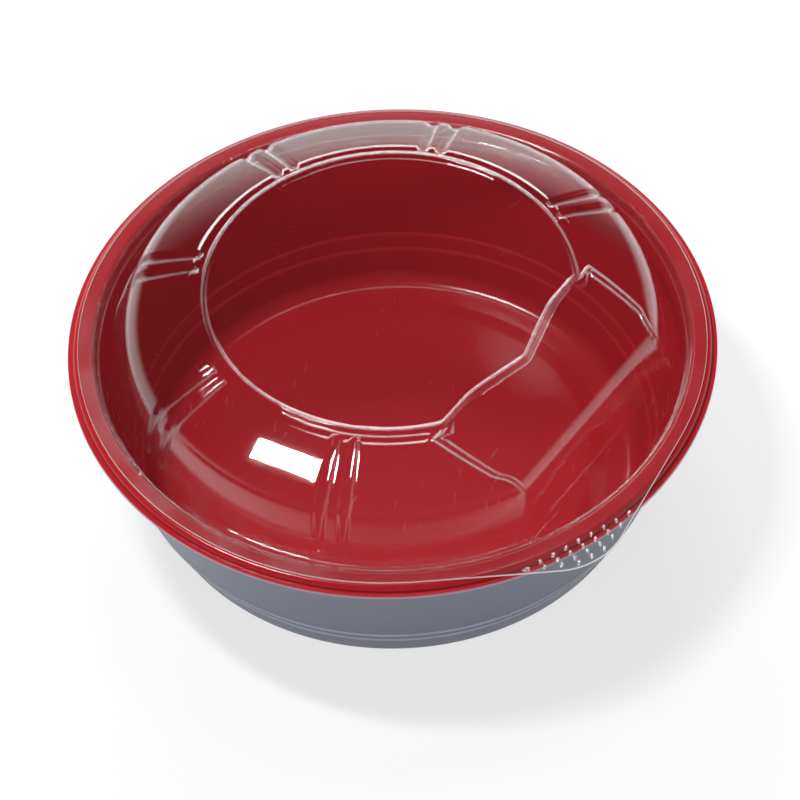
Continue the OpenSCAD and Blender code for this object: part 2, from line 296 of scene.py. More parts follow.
panel = {
    "turn": -36.7,  # direction of the panel's middle
    "topEdge": 38.7,  # from the axis to its straight top edge
    "nose": 5.1,  # how far the top edge's middle pokes out
    "noseHalf": 19.5,
    "noseRun": 17.6,  # how far down the roof the nose reaches
    "roofSlope": 12.6,
    "crownRadius": 208.0,
    "foot": 68.2,
    "wallDraft": 18.6,
    "shoulderBlend": 4.3,
    "edgeBlend": 0.8,
    "noseBlend": 0.35,
    "sideBeadHalf": (0.9, 1.8),  # half width of the bead along each side, at its foot and at the top
    "sideBeadEnds": (58.0, 61.0, 70.5),  # heights where it is gone, narrow and wide
    "sideBeadHeight": 0.75,
    "sideBeadOut": 0.1,  # how far its middle lies beyond its half width
    "sideBeadTop": (0.3, 0.9),  # it fades in from this far inside to this far outside the bead ring's edge
    "sideBeadGlint": 0.4,  # how white its two flanks are painted: a painted highlight
    "flank": (0.72, 0.22),  # the flanks' middle and half width, as shares of its half width
    "reach": 62.0,  # angle to each side within which the panel can cut the dome
    "leanFrom": (3, 37),  # angles over which columns begin to follow its side
    "leanTo": (42, 60),  # and over which they leave it again
    "sideColumns": (5.4, 1.2, 0.29),  # fine columns at each side bead: angle before and past it, step
    "broadColumns": (52.0, 1.6),  # columns elsewhere: angle to each side, step
    "lastColumns": (55, 58, 61, 63.5, 65.5),  # and the few out to the first flutes
    "clearOf": 0.45,  # smallest angle between a fine column and another
    "ringBlend": (1.0, 0.8),  # rounding of the top edge's kink, and where it meets the bead ring
}

flutes = {
    "pairs": 6,
    "first": 67.5,  # from the panel's middle to the first pair
    "step": 45.0,
    "pitch": (5.0, 6.5, 6.4),  # each at the flat top's edge, at the shoulder and at the foot
    "width": (3.2, 4.7, 2.6),
    "depth": (0.85, 1.0, 0.6),
    "floor": 0.3,  # share of the half width that is flat
    "foot": 2.2,  # height above the channel at which they end
    "footMargin": 0.3,  # the wall has closer rows from this far above their round ends to this far below
    "footRows": 8,
    "startIn": 1.0,  # how far inside the flat top's edge they start
    "startRun": 0.9,  # and the run over which they reach full depth
    "margin": 0.35,  # width beside a pair that its columns reach over
    "columns": 33,  # columns over one pair
    "between": 11,  # columns between two pairs
}

tab = {
    "turn": -58.0,
    "noseRadius": 20.0,
    "noseCentre": 74.9,
    "dotRows": ((87.05, 9), (89.0, 7), (90.95, 5), (92.9, 3)),  # distance from the axis, dots in the row
    "dotPitch": 4.0,
    "dotLong": 0.6,
    "dotWide": 0.5,
    "dotHeight": 0.3,
    "fineReach": 10.6,  # angle to each side of the tab that gets fine columns
    "fineStep": 0.22,
    # the dots' frosty white, which also paints their glints
    "dotFrostAndGlint": 0.7,
    "frostAndGlintWhite": 0.85,  # how white its dots and the sheet's cut edge are, frosty and painted glints in one, and the side beads' painted highlight
}


# Angle from the panel's middle to where its straight top edge meets the bead ring.
sideTurn = math.degrees(math.acos(panel["topEdge"] / lid["beadRadius"]))

# The point inside the dome from which the panel's cut is measured, as radius and height.
cutFrom = np.array([panel["topEdge"], lid["channelHeight"]]) - lid["insideFrom"]

# Directions of the pairs of flutes.
pairTurns = [panel["turn"] + flutes["first"] + k * flutes["step"] for k in range(flutes["pairs"])]


# Tangent of an angle in degrees.
def tangent(degrees):
    return math.tan(math.radians(degrees))


# Where two lines meet, each given by a point and its angle.
def lineMeet(p, pAngle, q, qAngle):
    a, b = math.radians(pAngle), math.radians(qAngle)
    reach = ((q[0] - p[0]) * math.sin(b) - (q[1] - p[1]) * math.cos(b)) / math.sin(b - a)
    return p[0] + reach * math.cos(a), p[1] + reach * math.sin(a)


# A straight run of points swelled to its left by a flat parabola, zero at both ends.
def crowned(points, rise):
    share = np.linspace(-1, 1, len(points))[:, None]
    run = points[-1] - points[0]
    side = np.array([-run[1], run[0]]) / np.linalg.norm(run)
    return points + rise * (1 - share**2) * side


# Upper face of the plug wall: the bowl's wall, moved in by the gap and the sheet's thickness.
def plugAt(height):
    inwards = (lid["plugGap"] + lid["thickness"]) / math.cos(math.radians(bowl["wallDraft"]))
    return wallRadius(height) - inwards, height


channelShares = 0.1, 0.5, 0.9  # where the channel's points lie between its two folds


# The upper face in section beyond the bead: land, edge, roof, shoulder, wall, channel, plug wall
# and the start of the flange, as points and as where each stretch begins.
def lidSection():
    d = lid
    top, foot = (d["topEdge"], d["topHeight"]), (d["domeFoot"], d["channelHeight"])
    corner = lineMeet(top, -d["roofSlope"], foot, d["domeDraft"] - 90)
    land = (d["beadRadius"] + d["beadHalf"], d["topHeight"])
    channelOut, flangeIn = plugAt(d["channelHeight"]), plugAt(d["flangeHeight"])
    flangeEnd = (flangeIn[0] + 2 * d["flangeRound"], d["flangeHeight"])
    edge = cornerArc(land, top, corner, d["edgeRound"], d["edgeStep"])
    shoulder = cornerArc(top, corner, foot, d["shoulder"], d["shoulderStep"])
    footFold = cornerArc(corner, foot, channelOut, d["channelRound"], d["footStep"])
    plugFold = cornerArc(foot, channelOut, flangeIn, d["channelRound"], d["foldStep"])
    rimFold = cornerArc(channelOut, flangeIn, flangeEnd, d["flangeRound"], d["foldStep"])
    endTop, endFoot = flutes["foot"] + flutes["width"][2] / 2, flutes["foot"]
    margin = flutes["footMargin"]
    above = np.linspace(endTop + margin, endFoot - margin, flutes["footRows"])
    lowWall = np.stack([d["domeFoot"] - above * tangent(d["domeDraft"]), d["channelHeight"] + above], 1)
    stretches = {
        "land": [land, (land[0] + d["landWidth"], land[1])],
        "edge": edge,
        "roof": crowned(filledIn(np.array([edge[-1], shoulder[0]]), d["roofStep"]), d["roofCrown"])[1:-1],
        "shoulder": shoulder,
        "wall": filledIn(np.array([shoulder[-1], lowWall[0]]), d["wallStep"])[1:-1],
        "lowWall": lowWall,
        "foot": footFold,
        "channel": [(footFold[-1][0] * (1 - t) + plugFold[0][0] * t, foot[1]) for t in channelShares],
        "plug": plugFold,
        "plugWall": [(plugFold[-1] + rimFold[0]) / 2],
        "rim": rimFold,
    }
    starts = dict(zip(stretches, np.cumsum([0] + [len(s) for s in stretches.values()])))
    return np.concatenate([np.asarray(s, float).reshape(-1, 2) for s in stretches.values()]), starts


# An angle moved along with the panel's side: fully beside the side, not at all at the panel's middle
# and at the flutes.
def leaned(angle, lean):
    beside = (angle - panel["turn"] + 540) % 360 - 180
    away = np.abs(beside)
    share = smoothStep(*panel["leanFrom"], away) * (1 - smoothStep(*panel["leanTo"], away))
    return angle + np.sign(beside) * share * lean


# Columns across the panel, as shares of the gap between the flutes beside it: fine ones are found
# from the angles that they should reach at the bead ring and, under the tab, at the flange. Both are
# looked up among many angles across the gap.
def panelColumns(gap, half):
    p, t = panel, tab
    lookups = 5401
    every = np.linspace(-gap / 2, gap / 2, lookups)

    def reachedAt(radius):
        return every - np.degrees(np.arcsin(half * every / (gap / 2) / radius))

    footTurn = math.degrees(math.acos(p["foot"] / lid["domeFoot"]))
    atFlange = leaned(p["turn"] + reachedAt(lid["flangeEdge"]), footTurn - sideTurn) - p["turn"]
    tabTurns = np.arange(-t["fineReach"], t["fineReach"] + 0.01, t["fineStep"]) + (t["turn"] - p["turn"])
    fine = np.interp(tabTurns, atFlange, every)
    before, past, step = p["sideColumns"]
    turns = np.arange(sideTurn - before, sideTurn + past, step)
    side = np.interp(turns, reachedAt(lid["beadRadius"]), every)
    fine = np.concatenate([fine, side, -side[-side < fine[0] - 0.1]])
    reach, step = p["broadColumns"]
    last = np.array(p["lastColumns"])
    broad = np.concatenate([np.arange(-reach, reach + 0.01, step), -last[::-1], last])
    broad = broad[np.abs(broad[:, None] - fine).min(1) > p["clearOf"]]
    return (np.sort(np.concatenate([fine, broad])) + gap / 2) / gap


# The lid's columns: the lines along a pair of flutes run parallel, so a column is an angle plus
# a distance beside it, and between two pairs the distance shrinks to its opposite.
def lidColumns():
    f = flutes
    half = (f["pitch"][1] + f["width"][1]) / 2 + f["margin"]
    base, aside = [], []
    for k, turn in enumerate(pairTurns):
        base += [turn] * f["columns"]
        aside += list(np.linspace(-half, half, f["columns"]))
        if k < f["pairs"] - 1:
            gap = f["step"]
            share = np.arange(1, f["between"] + 1) / (f["between"] + 1)
        else:
            gap = 360 - k * f["step"]
            share = panelColumns(gap, half)
        base += list(turn + gap * share)
        aside += list(half * (1 - 2 * share))
    return np.array(base), np.array(aside)


# Angle of every column at a radius, in radians: its own, plus what its distance beside spans there,
# moved along with the panel's side.
def turnAt(columns, radius, lean=0.0):
    base, aside = columns
    spanned = np.degrees(np.arcsin(aside / np.maximum(radius, lid["parallelFrom"])))
    return np.radians(leaned(base + spanned, lean))


# Angle from the panel's middle, in radians.
def fromPanel(turn):
    return wrapped(turn - math.radians(panel["turn"]))


# How far the panel's roof has dropped at a distance past its top edge: a slope that grows steadily.
def roofDrop(run):
    return run * (tangent(panel["roofSlope"]) + np.abs(run) / (2 * panel["crownRadius"]))


# Height of the panel's roof: the crowned roof, or the nose's steeper roof where that is higher.
def panelRoof(x, y):
    p = panel
    times = roofDrop(p["noseRun"]) / roofDrop(p["noseRun"] - p["nose"])
    run = x - p["topEdge"]
    noseRun = run - p["nose"] * (1 - np.abs(y) / p["noseHalf"])
    return lid["topHeight"] - softMin(roofDrop(run), times * roofDrop(noseRun), p["noseBlend"])


# Radius of the panel's kinked top edge, with its corners softened, or of the bead ring outside it.
def beadLine(turn):
    p = panel
    least = 0.05  # keeps both divisors above zero
    c, s = np.cos(turn), np.abs(np.sin(turn))
    straight = np.where(c > least, p["topEdge"] / np.maximum(c, least), farAway)
    kink = (p["topEdge"] + p["nose"]) / np.maximum(c + p["nose"] / p["noseHalf"] * s, least)
    kinkBlend, ringBlend = p["ringBlend"]
    edge = -softMin(-straight, -kink, kinkBlend)
    return softMin(edge, np.full_like(edge, lid["beadRadius"]), ringBlend)


# Distance from the inner point, along the way to each of the dome's points, to the panel's faces:
# the wall is a plane, the roof is found by Newton's rule, and the two meet in a round shoulder.
def panelReach(way, turn):
    p = panel
    tries, firstReach, furthest, probe, leastRate = 9, 25.0, 90, 0.01, 0.05
    c, s = np.cos(turn), np.sin(turn)
    slope = tangent(p["wallDraft"])
    rise = cutFrom[1] - lid["channelHeight"]
    closing = way[..., 0] * c + way[..., 1] * slope
    wall = (p["foot"] - cutFrom[0] * c - rise * slope) / np.maximum(closing, 1e-3)

    def above(reach):
        radius = cutFrom[0] + reach * way[..., 0]
        return cutFrom[1] + reach * way[..., 1] - panelRoof(radius * c, radius * s)

    roof = np.full(way.shape[:2], firstReach)
    for _ in range(tries):
        rate = (above(roof + probe) - above(roof)) / probe
        roof = np.clip(roof - above(roof) / np.maximum(rate, leastRate), 0, furthest)
    reach = softMin(roof, wall, p["shoulderBlend"])
    return np.where(np.abs(turn) < math.radians(p["reach"]), reach, farAway)


# The angle at which the panel's side crosses each row of the section: where the way to the row and
# the way to the panel are as long, between two of many angles.
def panelSide(section):
    lookups = 200
    angles = np.linspace(1, panel["reach"] - 1, lookups)
    out = section - cutFrom
    far = np.linalg.norm(out, axis=1)
    way = np.repeat((out / far[:, None])[:, None, :], lookups, 1)
    value = far[:, None] - panelReach(way, np.radians(angles))
    last = lookups - 1 - np.argmax(value[:, ::-1] > 0, 1)
    row = np.arange(len(section))
    here, there = value[row, last], value[row, np.minimum(last + 1, lookups - 1)]
    return angles[last] + (angles[1] - angles[0]) * here / np.maximum(here - there, 1e-6)


# Radius of the sheet's edge at an angle from the tab: the flange's circle, the straight sides that
# touch it, and the nose's circle.
def sheetEdge(turn):
    flange, radius, centre = lid["flangeEdge"], tab["noseRadius"], tab["noseCentre"]
    away = np.abs(turn)
    side = math.acos((flange - radius) / centre)
    noseTurn = math.atan2(radius * math.sin(side), centre + radius * math.cos(side))
    nose = centre * np.cos(away) + np.sqrt(np.maximum(radius**2 - (centre * np.sin(away))**2, 0))
    straight = flange / np.cos(np.minimum(side - away, 1.4))  # short of a right angle
    return np.where(away >= side, flange, np.where(away > noseTurn, straight, nose))


# Unit normals of a closed grid: the cross product of its two tangents.
def gridNormals(grid):
    along = np.gradient(grid, axis=0)
    around = np.roll(grid, -1, 1) - np.roll(grid, 1, 1)
    normal = np.cross(along, around)
    return normal / np.maximum(np.linalg.norm(normal, axis=2, keepdims=True), 1e-9)


# How far each grid point lies from where a value on the grid is zero: the value over its slope.
def distanceToZero(grid, value):
    along, around = np.gradient(grid, axis=0), np.roll(grid, -1, 1) - np.roll(grid, 1, 1)
    up, across = np.gradient(value, axis=0), np.roll(value, -1, 1) - np.roll(value, 1, 1)
    e, f, g = (along**2).sum(2), (along * around).sum(2), (around**2).sum(2)
    slope = (e * across**2 - 2 * f * up * across + g * up**2) / np.maximum(e * g - f * f, 1e-9)
    return value / np.sqrt(np.maximum(slope, 1e-6))


# The flat top and its bead, which follow the bead ring or the panel's top edge: rows at shares of
# the way out, then rows across the bead, whose height is a raised cosine above the roof beneath.
def flatTop(columns, line):
    d = lid
    steps = np.linspace(-1, 1, d["beadRows"] + 1)[:-1]
    shares = np.array(d["topShares"])
    half = d["beadHalf"]
    radius = np.concatenate([shares[:, None] * (line - half), line + half * steps[:, None]])
    turn = np.stack([turnAt(columns, row) for row in radius])
    height = np.full(radius.shape, d["topHeight"])
    bead = slice(len(shares), None)
    beside = fromPanel(turn[bead])
    roof = panelRoof(radius[bead] * np.cos(beside), radius[bead] * np.sin(beside))
    roof = np.where(np.abs(beside) < math.radians(panel["reach"]), roof, farAway)
    height[bead] = np.minimum(height[bead], roof) + d["beadHeight"] * hump(steps)[:, None]
    return np.stack([radius * np.cos(turn), radius * np.sin(turn), height], 2)


# The section's rows in every column, cut back to the panel: a point moves along the way from the
# inner point to where the panel is, if that is nearer. From the dome's foot on, rows move inwards
# with the panel's foot instead, less and less across the channel. Also how far past the panel each
# point lay.
def cutBack(section, starts, turn):
    d, p = lid, panel
    leastCosine = 0.3
    r = np.repeat(section[:, :1], turn.shape[1], 1)
    z = np.repeat(section[:, 1:], turn.shape[1], 1)
    beside = fromPanel(turn)
    land = slice(0, starts["edge"])
    r[land] += beadLine(beside[land]) - d["beadRadius"]
    out = np.stack([r, z], 2) - cutFrom
    far = np.linalg.norm(out, axis=2)
    way = out / far[..., None]
    reach = panelReach(way, beside)
    sunk = cutFrom + way * softMin(far, reach, p["edgeBlend"])[..., None]

    c = np.cos(beside)
    foot = np.where(c > leastCosine, p["foot"] / np.maximum(c, leastCosine), farAway)
    shift = softMin(np.full_like(r, d["domeFoot"]), foot, p["edgeBlend"]) - d["domeFoot"]
    weight = np.ones(len(section))
    weight[starts["channel"]:starts["plug"]] = 1 - np.array(channelShares)
    weight[starts["plug"]:] = 0
    moved = np.stack([r + shift * weight[:, None], z], 2)
    return np.concatenate([sunk[:starts["foot"]], moved[starts["foot"]:]]), far - reach


# How deep every point lies in a flute: full depth over a flute's flat floor, less up its two sides,
# with a smooth start at the flat top's edge and a round end above the channel.
def fluteDip(section, starts, columns):
    f = flutes
    base, aside = columns
    above = section[:, 1] - lid["channelHeight"]
    past = np.concatenate([[0], np.cumsum(np.linalg.norm(np.diff(section, axis=0), axis=1))])
    marks = past[[starts["roof"], (starts["shoulder"] + starts["wall"]) // 2, starts["foot"] - 1]]
    pitch, width, depth = (np.interp(past, marks, f[name]) for name in ("pitch", "width", "depth"))
    start = np.clip((section[:, 0] - lid["topEdge"] + f["startIn"]) / f["startRun"], 0, 1)
    end = np.clip((f["foot"] + width[-1] / 2 - above) / (width[-1] / 2), 0, 1)
    run = depth * smoothStep(0, 1, start) * np.sqrt(1 - end**2)
    share = np.abs(np.abs(aside) - pitch[:, None] / 2) / (width[:, None] / 2)
    return (1 - smoothStep(f["floor"], 1, share)) * run[:, None] * np.isin(base, pairTurns)


# The flange and the tab: rows at shares of the way from the plug's fold to the sheet's edge.
def flangeGrid(columns, start, turn, lean):
    near, far = lid["flangeShares"]
    nearRows, farRows = lid["flangeRows"]
    shares = [np.linspace(0, near, nearRows + 1)[1:], np.linspace(near, far, farRows + 1)[1:], [1]]
    shares = np.concatenate(shares)[:, None]
    edgeTurn = turnAt(columns, lid["flangeEdge"], lean)
    edge = sheetEdge(wrapped(edgeTurn - math.radians(tab["turn"])))
    radius = start + (edge - start) * shares
    turns = turn + (edgeTurn - turn) * shares
    height = np.full(radius.shape, lid["flangeHeight"])
    return np.stack([radius * np.cos(turns), radius * np.sin(turns), height], 2)


# The bead along each side of the panel and the painted highlight along its flanks: its height is a
# raised cosine of the distance from where dome and panel meet, faded at its foot and at the bead ring.
def sideBead(grid, value, pastRing):
    p = panel
    near, farthest = 30, 40  # values that still count, and that the distance is worked out from
    away = distanceToZero(grid, np.clip(value, -farthest, farthest))
    gone, narrow, wide = p["sideBeadEnds"]
    half = np.interp(grid[..., 2], (narrow, wide), p["sideBeadHalf"])
    across = (away - half - p["sideBeadOut"]) / half
    whole = p["sideBeadHeight"] * hump(across)
    inside, outside = p["sideBeadTop"]
    fade = smoothStep(lid["beadHalf"] - inside, lid["beadHalf"] + outside, pastRing)
    side = whole * fade * smoothStep(gone, narrow, grid[..., 2]) * (np.abs(value) < near)
    middle, flankHalf = p["flank"]
    flank = np.clip(1 - np.abs(np.abs(across) - middle) / flankHalf, 0, 1)
    return side, p["sideBeadGlint"] * flank * side / np.maximum(whole, 0.05)


# Raised dots on the tab: each is one minus the squared distance in shares of its size, squared.
def tabDots(grid):
    t = tab
    c, s = math.cos(math.radians(t["turn"])), math.sin(math.radians(t["turn"]))
    x = grid[..., 0] * c + grid[..., 1] * s
    y = grid[..., 1] * c - grid[..., 0] * s
    dots = np.zeros(x.shape)
    for row, count in t["dotRows"]:
        for k in range(count):
            across = (k - (count - 1) / 2) * t["dotPitch"]
            near = ((x - row) / t["dotLong"])**2 + ((y - across) / t["dotWide"])**2
            dots += t["dotHeight"] * np.clip(1 - near, 0, 1)**2
    return dots


# The whole sheet: flat top, fluted dome, flange and tab in one stack of rows, with the side beads
# and the dots raised along its normals and the under face one thickness beneath along them. The dots
# and cut edge are marked frosty white, also painted glints; the side beads' flanks, a painted highlight.
def lidSheet():
    d = lid
    section, starts = lidSection()
    columns = lidColumns()
    domeRows = starts["foot"]
    lean = panelSide(section[:domeRows]) - sideTurn
    lean = np.append(lean, np.full(len(section) - domeRows, lean[-1]))
    line = beadLine(fromPanel(turnAt(columns, d["beadRadius"])))
    top = flatTop(columns, line)

    turn = np.stack([turnAt(columns, radius, share) for radius, share in zip(section[:, 0], lean)])
    flat, pastPanel = cutBack(section, starts, turn)
    leg = np.gradient(section, axis=0)
    normal = np.stack([-leg[:, 1], leg[:, 0]], 1) / np.linalg.norm(leg, axis=1, keepdims=True)
    flat = flat - fluteDip(section, starts, columns)[..., None] * normal[:, None, :]
    dome = np.stack([flat[..., 0] * np.cos(turn), flat[..., 0] * np.sin(turn), flat[..., 1]], 2)
    upper = np.concatenate([top, dome, flangeGrid(columns, section[-1][0], turn[-1], lean[-1])])

    rows = slice(len(top), len(top) + domeRows)
    value, pastRing = np.full(upper.shape[:2], farAway), np.full(upper.shape[:2], -farAway)
    value[rows] = pastPanel[:domeRows]
    pastRing[rows] = np.linalg.norm(upper[rows, :, :2], axis=2) - line
    side, frostAndGlint = sideBead(upper, value, pastRing)
    dots = tabDots(upper)
    upper = upper + gridNormals(upper) * (side + dots)[..., None]

    normals = gridNormals(upper)
    normals[-1] = (0, 0, 1)
    under = upper - d["thickness"] * normals
    poles = (0, 0, d["topHeight"]), (0, 0, d["topHeight"] - d["thickness"])
    piece = skin("lid_sheet", np.concatenate([upper, under[::-1]]), *poles)
    # frosty white on the dots and the cut edge, which also paints their glints
    frostAndGlint += tab["dotFrostAndGlint"] * dots / tab["dotHeight"]
    frostAndGlint[-1] = 1
    frostAndGlint = np.append(np.concatenate([frostAndGlint, frostAndGlint[::-1]]), [0, 0]).astype(np.float32)
    piece.data.attributes.new("frostAndGlint", "FLOAT", "POINT").data.foreach_set("value", frostAndGlint)
    return piece


lidPiece = lidSheet()
print("lid made:", len(lidPiece.data.polygons), "faces")


class Wire:
    # one output socket of a node tree; arithmetic on wires adds Math nodes
    def __init__(self, tree, socket=None):
        self.tree, self.socket = tree, socket

    def node(self, kind, settings, values, output=0):
        made = self.tree.nodes.new(kind)
        for key, value in settings.items():
            setattr(made, key, value)
        for key, value in values.items():
            if isinstance(value, Wire):
                self.tree.links.new(value.socket, made.inputs[key])
            else:
                made.inputs[key].default_value = value
        return Wire(self.tree, made.outputs[output])

    def maths(self, operation, *values):
        return self.node("ShaderNodeMath", {"operation": operation}, dict(enumerate(values)))

    def __add__(self, other):
        return self.maths("ADD", self, other)

    def __sub__(self, other):
        return self.maths("SUBTRACT", self, other)

    def __mul__(self, other):
        return self.maths("MULTIPLY", self, other)

    def __pow__(self, other):
        return self.maths("POWER", self, other)

    def __rsub__(self, other):
        return self.maths("SUBTRACT", other, self)

    __radd__, __rmul__ = __add__, __mul__

    def ramp(self, low, high):
        return self.node("ShaderNodeMapRange", {"interpolation_type": "SMOOTHSTEP"},
                         {"Value": self, "From Min": low, "From Max": high})

    def blend(self, first, second):
        return self.node("ShaderNodeMix", {"data_type": "RGBA"}, {0: self, 6: first, 7: second}, 2)


# An empty material, its tree and the place on the object in metres.
def newMaterial(name):
    material = bpy.data.materials.new(name)
    material.use_nodes = True
    material.node_tree.nodes.clear()
    tree = Wire(material.node_tree)
    place = tree.node("ShaderNodeTexCoord", {}, {}, "Object")
    return material, tree, place


def shade(tree, surface, kind="ShaderNodeOutputMaterial"):
    output = tree.tree.nodes.new(kind)
    tree.tree.links.new(surface.socket, output.inputs["Surface"])


# Noise of the place, first turned and divided by the stretch.
def noise(place, scale, detail, stretch=(1, 1, 1), turn=(0, 0, 0)):
    laid = place.node("ShaderNodeMapping", {"vector_type": "TEXTURE"},
                      {"Vector": place, "Rotation": turn, "Scale": stretch})
    return laid.node("ShaderNodeTexNoise", {}, {"Vector": laid, "Scale": scale, "Detail": detail})


# Marks where a noise rises above a level, full at one step above it.
def marks(place, level, step, *values):
    return (noise(place, *values) - level).ramp(0.0, step)


def vectorMaths(operation, output, *values):
    return values[0].node("ShaderNodeVectorMath", {"operation": operation}, dict(enumerate(values)), output)


# Distance from the axis: the length of the place with its height left out.
def radiusOf(place):
    return vectorMaths("LENGTH", "Value", vectorMaths("MULTIPLY", "Vector", place, (1, 1, 0)))


# One coordinate of a vector.
def axisOf(vector, axis):
    return vector.node("ShaderNodeSeparateXYZ", {}, {"Vector": vector}, axis)


# The first shader at a share of 0, the second at 1.
def mixed(share, first, second):
    return share.node("ShaderNodeMixShader", {}, {0: share, 1: first, 2: second})


def bumped(height, distance, strength):
    return height.node("ShaderNodeBump", {}, {"Height": height, "Distance": distance, "Strength": strength})


def plastic(colour, roughness, normal, specular):
    return colour.node("ShaderNodeBsdfPrincipled", {}, {
        "Base Color": colour, "Roughness": roughness, "Normal": normal, "Specular IOR Level": specular})


cutEdge = 0.08785, 0.08798  # radii in metres between which the rim's cut edge sets in

# Each noise is a scale and a detail, then perhaps a stretch and a turn; marks have a level and a step
# before these.
grey = {
    "colour": (0.165, 0.185, 0.255, 1),
    "worn": (0.205, 0.225, 0.300, 1),
    "edge": (0.50, 0.54, 0.64, 1),  # each ridge's lip, a painted highlight
    "under": (0.10, 0.11, 0.15, 1),  # painted shade in a line below it
    "cut": (0.50, 0.40, 0.47, 1),  # the rim's cut edge
    "cloud": (18.0, 3.0),
    "grain": (2600.0, 2.0),
    "drawn": (60.0, 3.0, (1, 1, 0.07)),
    "scuff": (0.68, 0.06, 900.0, 2.0, (1, 1, 14), (0.3, 0.5, 0)),
    "highlightFade": (0.2, 0.5),  # distances in mm from the ridge's corner
    "shadeDrop": 1.0,  # the painted shade line's middle lies this many mm below it
    "shadeFade": (0.3, 0.9),
    "shadeShare": 0.7,
    "wornShares": (0.5, 0.3, 0.2),  # how much clouds, drawn lines and scuffs wear the colour
    "drawnHeight": 0.6,
    "roughness": 0.36,
    "cloudRoughness": 0.10,
    "scuffSmoothness": 0.05,
    "bump": (0.00004, 0.6),  # height in metres, strength
    "specular": 0.5,
}


# Satin grey: worn by clouds, drawn lines and scuffs, with a painted highlight line at each ridge's corner,
# painted shade in a line below it, and the paler cut edge.
def greyPlastic():
    g = grey
    material, tree, place = newMaterial("grey_satin_plastic")
    cloud, grain, drawn = (noise(place, *g[name]) for name in ("cloud", "grain", "drawn"))
    scuff = marks(place, *g["scuff"])
    clouded, lined, scuffed = g["wornShares"]
    colour = (cloud * clouded + drawn * lined + scuff * scuffed).blend(g["colour"], g["worn"])
    height = axisOf(place, "Z") * (1 / mm)
    for ridge in ridges:
        fromShadeLine = tree.maths("ABSOLUTE", height - (ridge - g["shadeDrop"]))
        fromHighlight = tree.maths("ABSOLUTE", height - ridge)
        # painted shade in a line below each ridge
        colour = ((1 - fromShadeLine.ramp(*g["shadeFade"])) * g["shadeShare"]).blend(colour, g["under"])
        # a painted highlight on each ridge's corner
        colour = (1 - fromHighlight.ramp(*g["highlightFade"])).blend(colour, g["edge"])
    colour = radiusOf(place).ramp(*cutEdge).blend(colour, g["cut"])
    roughness = g["roughness"] + cloud * g["cloudRoughness"] - scuff * g["scuffSmoothness"]
    normal = bumped(grain + drawn * g["drawnHeight"], *g["bump"])
    shade(tree, plastic(colour, roughness, normal, g["specular"]))
    return material


red = {
    "colour": (0.47, 0.011, 0.020, 1),
    "pale": (0.52, 0.025, 0.036, 1),
    "cut": (0.60, 0.22, 0.30, 1),
    "cloud": (14.0, 3.0),
    "grain": (1900.0, 2.0),
    "scratches": ((0.70, 0.06, 1700.0, 1.0, (24, 12, 1), (0.1, 0.85, 0)),
                  (0.72, 0.06, 1500.0, 1.0, (18, 12, 1), (0.3, 0.35, 0.2))),
    "patch": (0.45, 0.15, 30.0, 2.0),  # where the scratches gather
    "scratchTop": (0.044, 0.049),  # heights in metres over which they end, below the lid's channel
    "paleShares": (0.5, 0.25),  # how much clouds and scratches make it paler
    "roughness": 0.14,
    "cloudRoughness": 0.06,
    "scratchRoughness": 0.25,
    "bump": (0.00003, 0.5),
    "specular": 0.4,
}


# Glossy red: paler by clouds and by two crossed sets of scratches, with the cut edge.
def redPlastic():
    r = red
    material, tree, place = newMaterial("red_gloss_plastic")
    cloud, grain = (noise(place, *r[name]) for name in ("cloud", "grain"))
    first, second = (marks(place, *values) for values in r["scratches"])
    below = 1 - axisOf(place, "Z").ramp(*r["scratchTop"])
    scratch = (first + second) * marks(place, *r["patch"]) * below
    clouded, scratched = r["paleShares"]
    colour = (cloud * clouded + scratch * scratched).blend(r["colour"], r["pale"])
    colour = radiusOf(place).ramp(*cutEdge).blend(colour, r["cut"])
    roughness = r["roughness"] + cloud * r["cloudRoughness"] + scratch * r["scratchRoughness"]
    normal = bumped(grain - scratch, *r["bump"])
    shade(tree, plastic(colour, roughness, normal, r["specular"]))
    return material


clear = {
    "tint": (0.985, 0.99, 0.99, 1),
    "headOn": 0.05,  # share that is reflected head on
    "rise": 4.0,  # power by which that grows towards a grazing view
    "roughness": 0.03,
    "swell": (55.0, 2.0),
    "bump": (0.00006, 0.5),
    "haze": 0.0015,  # share of white scatter everywhere, then what each kind of mark adds
    "dust": (0.72, 0.05, 1500.0, 1.0),
    "dustShare": 0.03,
    "rubbed": (0.72, 0.05, 1400.0, 1.0, (22, 1, 12), (0, 0.1, 0.7)),
    "rubbedShare": 0.006,
    # milky fogging low on the rim; on the left-front it also stands in for a painted reflection
    "fogAndReflectionShare": 0.045,
    "fogTop": (0.0535, 0.0560),  # it lies low on the rim, in metres of height and radius
    "fogIn": (0.0790, 0.0815),
    "fogWay": (-0.8, -0.6, 0),  # and mostly on this side, where it also stands in for a painted reflection, from these distances on
    "fogFrom": (0.045, 0.08),
    "fogElsewhere": 0.2,
    "blotch": (0.35, 0.3, 60.0, 3.0),
    "blotchLeast": 0.3,
    "milk": (0.9, 0.9, 0.9, 1),
}
